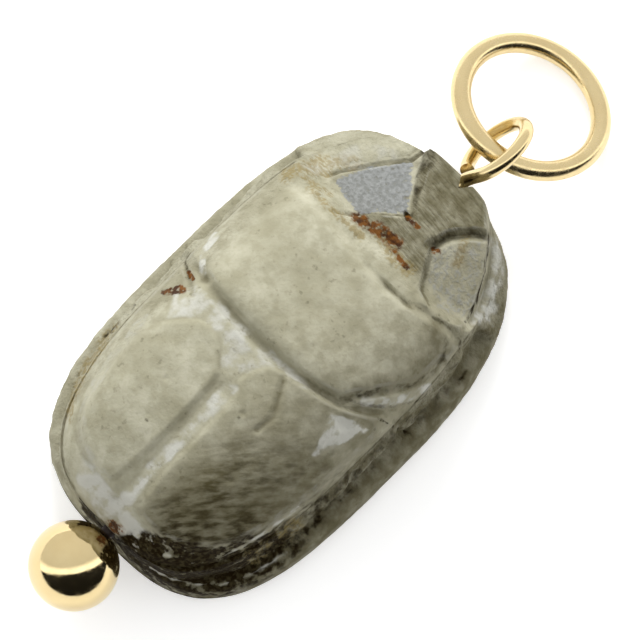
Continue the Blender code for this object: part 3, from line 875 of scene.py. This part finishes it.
    def wing_relief(self, across: Array, along: Array) -> Array:
        """How the wing cases rise behind the collar, with a sloped groove between them."""
        behind = ease((0.35 * np.clip(across - 2.0, 0.0, 4.0) + 0.35 - along) / 0.4)
        around = outline_distance(across, along, smoothed(self.wings, True, 2))
        left = outline_distance(across, along, smoothed(self.left_wing, True, 2))
        right = outline_distance(across, along, smoothed(self.right_wing, True, 2))
        on_wing = np.maximum(1.0 - ease(left / 0.34 + 0.6), 1.0 - ease(right / 0.34 + 0.6))
        relief = self.wing_rise * (on_wing - 0.5) * behind
        relief -= self.wing_step * ease(around / 0.55 + 0.5) * behind
        middle = across - np.interp(along, (-9.6, -2.7), (-0.34, -0.52))
        half = np.interp(along, (-9.6, -2.7), (0.42, 0.62))
        slope = ease((middle + half) / 0.6 + 0.5) * np.clip((half - middle) / (1.7 * half), 0.0, 1.0)
        return relief - self.middle_groove * slope * ease((-2.3 - along) / 0.7) * ease((along + 9.9) / 0.5)

    def collar_relief(self, across: Array, along: Array) -> Array:
        """How deep the groove round the collar goes, deepest at the rear."""
        collar = outline_distance(across, along, smoothed(self.collar, True, 2))
        side = np.interp(across, (-5.7, -4.6, -3.0, 2.5, 4.5, 6.0), (0.25, 0.6, 1.0, 1.0, 0.9, 0.9))
        rear = np.interp(along, (-0.6, 1.0, 3.0, 5.0, 5.8), (1.0, 0.9, 0.45, 0.5, 0.7)) * side
        depth = self.collar_groove * rear * furrow(collar - 0.1, 0.4)
        return depth + self.collar_drop * ease(1.0 + collar / 0.9) * rear

    def hollow(self, x: Array, y: Array, reach: float) -> Array:
        """How hollow the carving is at each place of the back, and below 0 on its edges.

        Args:
            x: places across.
            y: places along.
            reach: how far away the surface is compared.

        Returns:
            The depth below the surface around, in millimetres.
        """
        around = sum(self.carved(x + reach * a, y + reach * b) for a, b in ((1, 0), (-1, 0), (0, 1), (0, -1)))
        return around / 4.0 - self.carved(x, y)

    def chipped(self, points: Array) -> Array:
        """How deep wear and breaks go at places on the back.

        Args:
            points: places as the photograph shows them, with their heights as the third column.

        Returns:
            The depths.
        """
        across, along = points[:, 0], points[:, 1]
        wobble = 0.08 * self.noise.once(points, 0.35)
        depth = np.zeros(len(points))
        for place_x, place_y, radius, deep in CHIPS:
            away = np.hypot(across - place_x, along - place_y)
            depth = np.maximum(depth, deep * furrow(away + wobble, radius))
        return depth

    def block(self) -> bmesh.types.BMesh:
        """A block in the unit square, with the wall's levels as layers and every second line underneath."""
        bm = bmesh.new()
        bmesh.ops.create_grid(bm, x_segments=self.columns, y_segments=self.rows, size=1.0)
        raised = bmesh.ops.extrude_face_region(bm, geom=bm.faces[:])["geom"]
        bmesh.ops.translate(bm, verts=[v for v in raised if isinstance(v, bmesh.types.BMVert)], vec=(0, 0, 1))
        odd = []
        for edge in bm.edges:
            a, b = (v.co for v in edge.verts)
            if a.z + b.z > 0.5:
                continue
            column = round((a.x + 1.0) / 2.0 * self.columns)
            row = round((a.y + 1.0) / 2.0 * self.rows)
            if (abs(a.x - b.x) < 1e-6 and column % 2) or (abs(a.y - b.y) < 1e-6 and row % 2):
                odd.append(edge)
        bmesh.ops.dissolve_edges(bm, edges=odd, use_verts=True)
        walls = [e for e in bm.edges if abs(e.verts[0].co.z - e.verts[1].co.z) > 0.5]
        bmesh.ops.subdivide_edges(bm, edges=walls, cuts=self.levels - 1, use_grid_fill=True)
        return bm

    def wall(self, p: Array, q: Array, level: Array) -> Array:
        """Places on the wall and the underside.

        Args:
            p: places across the unit oval.
            q: places along it.
            level: shares of the way from the underside's edge to the back's.

        Returns:
            The places, one a row.
        """
        top_x = p * (self.half_width - self.side_shelf)
        top_y = q * (self.half_length - self.end_shelf(q)) - self.pin_notch(p, q)
        top = self.carved(top_x, top_y)
        marks = np.linspace(0.0, 1.0, len(self.wall_steps))
        at_head = ease((4.6 - top) / 0.8)
        shelf = np.interp(level, marks, [s for s, _ in self.wall_steps])
        rise = np.interp(level, marks, [r for _, r in self.wall_steps])
        low_shelf = np.interp(level, marks, [s for s, _ in self.foreleg_steps])
        low_rise = np.interp(level, marks, [r for _, r in self.foreleg_steps])
        shelf, rise = mix(shelf, low_shelf, at_head), mix(rise, low_rise, at_head)
        z = np.where(rise <= 1.0, rise * self.plate_thickness, mix(self.plate_thickness, top, rise - 1.0))
        relief = self.legs(q * self.half_length, rise - 1.0)
        x = p * (self.half_width - self.side_shelf * shelf) + np.sign(p) * p * p * relief
        y = q * (self.half_length - self.end_shelf(q) * shelf)
        y -= self.pin_notch(p, q) * ease((rise - 0.9) / 0.5)
        return np.column_stack((x, y, z))

    def legs(self, y: Array, share: Array) -> Array:
        """How far the legs on a side wall stand out, at a share of the wall above the plate."""
        wall = self.shoulder - self.plate_thickness
        relief = np.zeros(y.shape)
        for (row_a, share_a), (row_b, share_b) in self.side_legs:
            line = ((row_a * self.half_length, share_a * wall), (row_b * self.half_length, share_b * wall))
            away = line_distance(y, share * wall, line)
            leg = self.leg_relief * furrow(away, 0.62) - 0.14 * furrow(away - 0.66, 0.16)
            relief = np.maximum(relief, leg)
        return relief * ease(share / 0.1) * ease((1.0 - share) / 0.1)

    def underside(self, x: Array, y: Array) -> Array:
        """The shallow carving under the base: a border line and rows of plain strokes."""
        a = np.abs(x) / (self.half_width - self.border_inset)
        b = np.abs(y) / (self.half_length - self.border_inset)
        border = ((a**3 + b**3) ** (1 / 3) - 1.0) * self.half_width
        depth = self.border_depth * furrow(border, 0.3)
        for row in range(-3, 4):
            line_y = row * self.row_spacing
            line = ((-self.row_reach, line_y), (self.row_reach, line_y))
            depth = np.maximum(depth, self.row_depth * groove(x, y, line, 0.22))
            foot, tip = (line_y + step for step in self.stroke_span)
            if abs(tip) >= self.strokes_to:
                continue
            for column in range(-2, 3):
                middle = column * self.stroke_spacing
                lean = self.stroke_lean if (row + column) % 2 else -self.stroke_lean
                stroke = ((middle - lean, foot), (middle + lean, tip))
                depth = np.maximum(depth, self.stroke_depth * groove(x, y, stroke, 0.24))
        return depth

    def marks(self, points: Array, top: Array) -> dict[Mark, Array]:
        """What the stone carries at each vertex.

        Args:
            points: the vertices' places.
            top: which vertices are on the back.

        Returns:
            How much of each mark each vertex carries, where 1 is a full cover.
        """
        x, y, z = points.T
        across, along = self.seen(x, y, z)
        skin = Skin(across, along, self.fray * self.noise.layers(points, 0.8))
        wall = np.where(top, 0.0, 1.0)
        rims = skin.cover(RIMS)
        # how hollow each vertex is, which paints shade in hollows and wear on ridges
        hollow = np.zeros(len(points))
        hollow[top] = self.hollow(x[top], y[top], self.hollow_reach) / self.hollow_depth
        hollow *= 1.0 - skin.cover(FRONT_WITHOUT_HOLLOW_MARKS)
        worn = np.maximum(skin.cover(WORN), 0.55 * rims)
        worn = np.maximum(worn, 0.22 * np.clip(-hollow - 0.3, 0.0, 1.0))
        sawn = 1.0 - ease(outline_distance(across, along, self.clypeus) / 0.15 + 0.5)
        rough = 0.55 * np.maximum(ease((along - 5.4) / 0.5), ease((-4.7 - across) / 0.4))
        grain = np.clip(np.maximum(0.15, rough) + 0.85 * wall * ease((z - 2.0) / 0.4), 0.0, 1.0)
        right_wing = skin.inside(smoothed(self.right_wing, True, 1), 0.5) * ease((across + 0.4) / 2.2)
        return {
            Mark.DIRT_AND_PAINTED_SHADE: self.dirt_and_painted_shade(skin, points, wall) * (1.0 - 0.75 * rims),
            Mark.WORN: worn,
            Mark.RUST: skin.cover(RUST),
            Mark.OCHRE: skin.cover(OCHRE),
            Mark.SLATE: skin.cover(SLATE) * top,
            Mark.SAWN: sawn * ease((along - 6.2) / 0.5) * top,
            Mark.GRAIN: grain,
            Mark.OLIVE_AND_PAINTED_SHADE: self.olive_and_painted_shade(skin, points, wall, worn, hollow),
            Mark.STREAK: 0.95 * right_wing * np.interp(along, (-6.0, -3.4, -1.5), (1.0, 0.65, 0.3)),
        }

    def dirt_and_painted_shade(self, skin: Skin, points: Array, wall: Array) -> Array:
        """Soil at the tail's right corner, and soil with painted shade on the tail's wall and in the lines of
        the carving.

        Args:
            skin: the vertices as the photograph shows them.
            points: the vertices' places.
            wall: 1 at the vertices that aren't on the back.

        Returns:
            How much soil and painted shade each vertex carries.
        """
        x, y, z = points.T
        corner = skin.inside(TAIL_CORNER, 1.2) * np.interp(skin.along, *CORNER_DIRT)
        corner *= 1.0 - skin.cover(CORNER_GAPS)
        # soil, and painted shade on the tail's wall round the bore's mouth beside the ball
        tail_wall = 1.6 * wall * ease((-9.3 - y) / 0.5) * ease((4.95 - z) / 0.2)
        tail_wall *= (0.35 + 0.65 * ease((z - 1.5) / 0.7)) * ease((x + 2.0) / 0.9)
        return np.maximum.reduce([corner, tail_wall, skin.cover(DIRT_AND_PAINTED_SHADE)])

    def olive_and_painted_shade(self, skin: Skin, points: Array, wall: Array, worn: Array, hollow: Array) -> Array:
        """Olive tone and painted shade: darker to the right and at the far left, painted shade in hollows,
        grooves and on the walls, and olive round the tail's corner and on the head.

        Args:
            skin: the vertices as the photograph shows them.
            points: the vertices' places.
            wall: 1 at the vertices that aren't on the back.
            worn: how worn each vertex is, which keeps it light.
            hollow: how hollow the carving is at each vertex.

        Returns:
            How much olive tone and painted shade each vertex carries.
        """
        x, _, z = points.T
        corner = skin.inside(TAIL_CORNER, 2.2) * np.interp(skin.along, (-6.5, -4.0), (1.0, 0.3))
        return np.maximum.reduce([
            skin.cover(OLIVE_AND_PAINTED_SHADE),
            skin.cover(HEAD_DUSK) * ease((skin.along - 6.0) / 0.9),
            # olive patina and painted shade, darker to the right
            0.42 * np.clip((skin.across + 0.6) / 5.5, 0.0, 1.0),
            # darker towards the far left edge
            0.22 * ease((-4.4 - skin.across) / 0.8),
            0.9 * corner * (1.0 - worn),
            # painted shade in the hollows of the carving
            0.7 * np.clip(hollow - 0.15, 0.0, 1.0) * (1.0 - 0.8 * worn),
            # painted shade low on the walls, by the table
            0.8 * wall * (1.0 - ease((z - 0.2) / 1.1)),
            # painted shade on the walls, darker to the right
            wall * np.interp(x, (-4.0, 3.0, 5.0), (0.25, 0.55, 0.85)),
        ])

    def places(self, square: Array) -> tuple[Array, Array]:
        """Move the block's vertices to the stone's surface.

        Args:
            square: the block's vertices, from -1 to 1 across and along and from 0 to 1 in height.

        Returns:
            Their places in millimetres, and which of them are on the back.
        """
        s, t, level = square.T
        p, q = self.on_oval(s, t)
        top = level > 1.0 - 0.5 / self.levels
        points = self.wall(p, q, level)
        x = p[top] * (self.half_width - self.side_shelf)
        y = q[top] * (self.half_length - self.end_shelf(q[top])) - self.pin_notch(p[top], q[top])
        back = np.column_stack((x, y, self.carved(x, y)))
        shown = np.column_stack((*self.seen(x, y, back[:, 2]), back[:, 2]))
        back[:, 2] -= self.chipped(shown)
        back[:, 2] += self.roughness * self.noise.layers(back, 0.7, 4) - self.roughness
        points[top] = back
        rim = (np.abs(s) > 1.0 - 1e-6) | (np.abs(t) > 1.0 - 1e-6)
        under = (level < 0.5 / self.levels) & ~rim
        points[under, 2] = self.underside(points[under, 0], points[under, 1])
        wall = rim & ~top & (level > 0.5 / self.levels)
        grit = self.noise.layers(points[wall], 0.45, 3) * ease((points[wall, 2] - 0.15) / 0.3)
        inward = 1.0 - (0.5 + 0.5 * grit) * self.grit_depth / self.half_width
        points[wall, :2] *= inward[:, None]
        return points, top

    def build(self) -> bpy.types.Object:
        """Make the stone, bore it and dress it."""
        bm = self.block()
        mesh = bpy.data.meshes.new("scarab_stone")
        bmesh.ops.triangulate(bm, faces=[f for f in bm.faces if len(f.verts) > 4])
        bm.to_mesh(mesh)
        bm.free()
        square = np.empty(len(mesh.vertices) * 3)
        mesh.vertices.foreach_get("co", square)
        points, top = self.places(square.reshape(-1, 3))
        mesh.vertices.foreach_set("co", (points * MM).ravel())
        for mark, values in self.marks(points, top).items():
            layer = mesh.attributes.new(mark.value, "FLOAT", "POINT")
            layer.data.foreach_set("value", values)
        stone = link_mesh("scarab_stone", mesh, 60.0)
        self.bore(stone)
        return dress(stone, self.finish, "scarab")

    def bore(self, stone: bpy.types.Object) -> None:
        """Drill the stone from tail to head."""
        bm = bmesh.new()
        radius = self.bore_diameter / 2 * MM
        length = self.half_length * 2.4 * MM
        bmesh.ops.create_cone(
            bm, cap_ends=True, segments=self.bore_sides, radius1=radius, radius2=radius, depth=length,
        )
        turn = Matrix.Translation((0, 0, BORE_HEIGHT * MM)) @ Matrix.Rotation(math.pi / 2, 4, "X")
        bmesh.ops.transform(bm, matrix=turn, verts=bm.verts)
        drill = write_mesh("drill", bm, 40.0)
        cut = stone.modifiers.new("bore", "BOOLEAN")
        cut.operation = "DIFFERENCE"
        cut.object = drill
        bored = bpy.data.meshes.new_from_object(stone.evaluated_get(bpy.context.evaluated_depsgraph_get()))
        stone.modifiers.clear()
        plain = stone.data
        stone.data = bored
        bpy.data.meshes.remove(plain)
        bpy.data.objects.remove(drill, do_unlink=True)
        bored.name = "scarab_stone"


# The gold


@dataclass
class StopBall:
    """The ball that stops the pin at the tail, with a blind hole for the pin's end."""

    finish: bpy.types.Material
    sides: int = 96
    rings: int = 64
    play: float = 0.0005
    hole_radius: float = 0.365
    hole_depth: float = 1.15

    def build(self) -> bpy.types.Object:
        """Turn the ball in its place."""
        low, high = (corner / MM for corner in map(np.array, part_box("stop_ball")))
        radius = (high[0] - low[0]) / 2 - self.play
        middle = Vector(((low[0] + high[0]) / 2, low[1] + radius + self.play, (low[2] + high[2]) / 2)) * MM
        mouth = math.acos(self.hole_radius / radius)
        bm = bmesh.new()
        verts = [bm.verts.new((0, 0, -radius * MM))]
        for i in range(1, self.rings + 1):
            angle = -math.pi / 2 + (mouth + math.pi / 2) * i / self.rings
            verts.append(bm.verts.new((radius * math.cos(angle) * MM, 0, radius * math.sin(angle) * MM)))
        bottom = (radius - self.hole_depth) * MM
        verts.append(bm.verts.new((self.hole_radius * MM, 0, bottom)))
        verts.append(bm.verts.new((0, 0, bottom)))
        for start, end in zip(verts, verts[1:]):
            bm.edges.new((start, end))
        spin_round(bm, self.sides)
        turn = Matrix.Translation(middle) @ Matrix.Rotation(-math.pi / 2, 4, "X")
        bmesh.ops.transform(bm, matrix=turn, verts=bm.verts)
        ball = write_mesh("gold_stop_ball", bm, 50.0)
        return dress(ball, self.finish, "stop_ball")


@dataclass
class JumpRing:
    """The closed ring that hangs in the eye and leans down to the table."""

    finish: bpy.types.Material
    wire: float = 0.91
    sides: int = 40
    turns: int = 160

    def build(self) -> bpy.types.Object:
        """Turn the ring in its place."""
        low, high = (corner / MM for corner in map(np.array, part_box("jump_ring")))
        radius = (high[0] - low[0]) / 2 - self.wire / 2
        lean = math.asin((high[2] - low[2] - self.wire) / (2 * radius))
        bm = bmesh.new()
        circle = bmesh.ops.create_circle(bm, segments=self.sides, radius=self.wire / 2 * MM)["verts"]
        stand = Matrix.Translation((radius * MM, 0, 0)) @ Matrix.Rotation(math.pi / 2, 4, "X")
        bmesh.ops.transform(bm, matrix=stand, verts=circle)
        spin_round(bm, self.turns)
        middle = Vector((low + high) / 2) * MM
        turn = Matrix.Translation(middle) @ Matrix.Rotation(-lean, 4, "X")
        bmesh.ops.transform(bm, matrix=turn, verts=bm.verts)
        ring = write_mesh("gold_jump_ring", bm, 60.0)
        return dress(ring, self.finish, "jump_ring")


@dataclass
class EyePin:
    """The wire through the stone, turned once round into an eye at the head."""

    finish: bpy.types.Material
    wire: float = 0.63
    eye_diameter: float = 3.84
    neck: float = 0.35
    axis_set: float = 0.2
    side_set: float = 0.3
    lift: float = 0.2
    lean: float = 60.0
    start: float = 150.0
    end: float = -153.0
    eye_points: int = 120
    neck_points: int = 24
    sides: int = 32

    def eye_place(self, angle: float) -> Vector:
        """A place on the eye's middle line, at an angle in degrees from its far end."""
        radius = (self.eye_diameter - self.wire) / 2
        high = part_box("scarab")[1]
        middle = Vector((self.side_set, high[1] / MM + self.neck + radius, BORE_HEIGHT + self.lift))
        across = Vector((math.cos(math.radians(self.lean)), 0.0, math.sin(math.radians(self.lean))))
        turn = math.radians(angle)
        return middle + radius * (math.cos(turn) * Vector((0, 1, 0)) + math.sin(turn) * across)

    def path(self) -> list[Vector]:
        """The wire's middle line: straight through the stone, round the neck and once round the eye."""
        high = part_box("scarab")[1]
        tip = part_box("eye_pin")[0][1] / MM
        neck = Vector((self.axis_set, high[1] / MM - self.neck, BORE_HEIGHT))
        start = self.eye_place(self.start)
        heading = (self.eye_place(self.start - 0.5) - start).normalized()
        reach = (start - neck).length * 0.4
        first = neck + Vector((0, reach, 0))
        second = start - heading * reach
        points = [Vector((self.axis_set, tip, BORE_HEIGHT))]
        for i in range(self.neck_points):
            u = i / self.neck_points
            w = 1.0 - u
            points.append(neck * w**3 + first * 3 * u * w * w + second * 3 * u * u * w + start * u**3)
        for i in range(self.eye_points + 1):
            points.append(self.eye_place(self.start + (self.end - self.start) * i / self.eye_points))
        return points

    def build(self) -> bpy.types.Object:
        """Sweep the wire along its path."""
        path = [place * MM for place in self.path()]
        bm = bmesh.new()
        radius = self.wire / 2 * MM
        ring = bmesh.ops.create_circle(bm, cap_ends=True, segments=self.sides, radius=radius)["verts"]
        heading = (path[1] - path[0]).normalized()
        turn = heading.to_track_quat("Z", "Y").to_matrix().to_4x4()
        bmesh.ops.transform(bm, matrix=Matrix.Translation(path[0]) @ turn, verts=ring)
        face = next(iter(bm.faces))
        for i in range(1, len(path)):
            grown = bmesh.ops.extrude_discrete_faces(bm, faces=[face])["faces"]
            face = grown[0]
            after = (path[min(i + 1, len(path) - 1)] - path[i - 1]).normalized()
            bend = Matrix.Translation(path[i]) @ heading.rotation_difference(after).to_matrix().to_4x4()
            bmesh.ops.transform(bm, matrix=bend @ Matrix.Translation(-path[i - 1]), verts=face.verts)
            heading = after
        pin = write_mesh("gold_eye_pin", bm, 60.0)
        return dress(pin, self.finish, "eye_pin")


# The studio


@dataclass
class Studio:
    """The white table, the soft light round it and the camera over it."""

    lens: float = 350.0
    sensor: float = 36.0
    picture_width: float = 27.56
    long_axis_angle: float = 45.15
    target: tuple[float, float, float] = (0.13, 2.1, BORE_HEIGHT)
    table_size: float = 900.0
    key_power: float = 0.17
    sky_strength: float = 1.0
    table_glow: float = 0.4
    room_side: tuple[float, float, float] = (0.71, -0.495, -0.502)
    key_place: tuple[float, float, float] = (-95, 100, 95)
    key_size: float = 70
    table_white: float = 0.93
    tent: Line = ((0.0, 1.0), (0.33, 0.86), (0.4, 2.0), (0.47, 2.0), (0.5, 0.02), (1.0, 0.01))

    def table(self) -> None:
        """A wide white table top."""
        bm = bmesh.new()
        bmesh.ops.create_grid(bm, x_segments=1, y_segments=1, size=self.table_size / 2 * MM)
        mesh = bpy.data.meshes.new("table")
        bm.to_mesh(mesh)
        bm.free()
        top = link_object("table", mesh)
        graph = Graph("white table")
        graph.shader.inputs["Base Color"].default_value = (*(self.table_white,) * 3, 1.0)
        graph.shader.inputs["Roughness"].default_value = 0.9
        graph.shader.inputs["Emission Color"].default_value = (1.0, 1.0, 1.0, 1.0)
        graph.shader.inputs["Emission Strength"].default_value = self.table_glow
        mesh.materials.append(graph.material)

    def sky(self) -> None:
        """White on the far side of the camera, a bright window beside it, and a dark room behind it."""
        world = bpy.data.worlds.new("light tent")
        world.use_nodes = True
        bpy.context.scene.world = world
        nodes, links = world.node_tree.nodes, world.node_tree.links
        coordinates = nodes.new("ShaderNodeTexCoord")
        room = nodes.new("ShaderNodeVectorMath")
        room.operation = "DOT_PRODUCT"
        room.inputs[1].default_value = self.room_side
        links.new(coordinates.outputs["Generated"], room.inputs[0])
        spread = nodes.new("ShaderNodeMapRange")
        spread.inputs["From Min"].default_value = -1.0
        links.new(room.outputs["Value"], spread.inputs["Value"])
        ramp = nodes.new("ShaderNodeValToRGB")
        links.new(spread.outputs["Result"], ramp.inputs["Fac"])
        stops = ramp.color_ramp.elements
        while len(stops) < len(self.tent):
            stops.new(1.0)
        for stop, (share, brightness) in zip(stops, self.tent):
            stop.position = share
            stop.color = (brightness, brightness, brightness, 1.0)
        background = nodes["Background"]
        links.new(ramp.outputs["Color"], background.inputs["Color"])
        background.inputs["Strength"].default_value = self.sky_strength

    def key(self) -> None:
        """A soft light from the head's left, which the gold doesn't mirror."""
        light = bpy.data.lights.new("key light", "AREA")
        light.shape = "DISK"
        light.size = self.key_size * MM
        light.energy = self.key_power
        obj = link_object("key light", light)
        obj.location = Vector(self.key_place) * MM
        obj.visible_glossy = False
        obj.rotation_euler = (-obj.location).to_track_quat("-Z", "Y").to_euler()

    def camera(self) -> None:
        """A long lens over the stone, turned so that the stone lies from corner to corner of the picture."""
        data = bpy.data.cameras.new("camera")
        data.lens = self.lens
        data.sensor_width = self.sensor
        data.clip_start = 1 * MM
        data.clip_end = 10.0
        obj = link_object("camera", data)
        bpy.context.scene.camera = obj
        back = Vector((-VIEW_SHIFT_ACROSS, -VIEW_SHIFT_ALONG, 1.0)).normalized()
        angle = math.radians(self.long_axis_angle)
        right = Vector((math.sin(angle), math.cos(angle), 0.0))
        right = (right - back * right.dot(back)).normalized()
        up = back.cross(right)
        distance = self.picture_width * self.lens / self.sensor
        turn = Matrix((right, up, back)).transposed().to_4x4()
        obj.matrix_world = Matrix.Translation((Vector(self.target) + back * distance) * MM) @ turn

    def build(self) -> None:
        """Set up the table, the light and the camera."""
        bpy.context.scene.view_settings.view_transform = "Standard"
        self.table()
        self.sky()
        self.key()
        self.camera()


def main() -> None:
    """Build and dress each piece, then the studio, and log each piece's face count."""
    logging.basicConfig(level=logging.INFO, format="%(message)s")
    stone = StoneFinish().build()
    gold = GoldFinish().build()
    handled_gold = GoldFinish(roughness=(0.19, 0.3)).build()
    # the pin gets grime and painted shade where it sits in the bore's mouths
    grimed_and_shaded_gold = GoldFinish(roughness=(0.16, 0.26), grime_and_shade_bands=((-11.2, -9.5), (9.5, 10.35))).build()
    for piece in (Scarab(stone), StopBall(gold), EyePin(grimed_and_shaded_gold), JumpRing(handled_gold)):
        obj = piece.build()
        log.info("%s: %d faces", obj.name, len(obj.data.polygons))
    Studio().build()


if __name__ == "__main__":
    main()
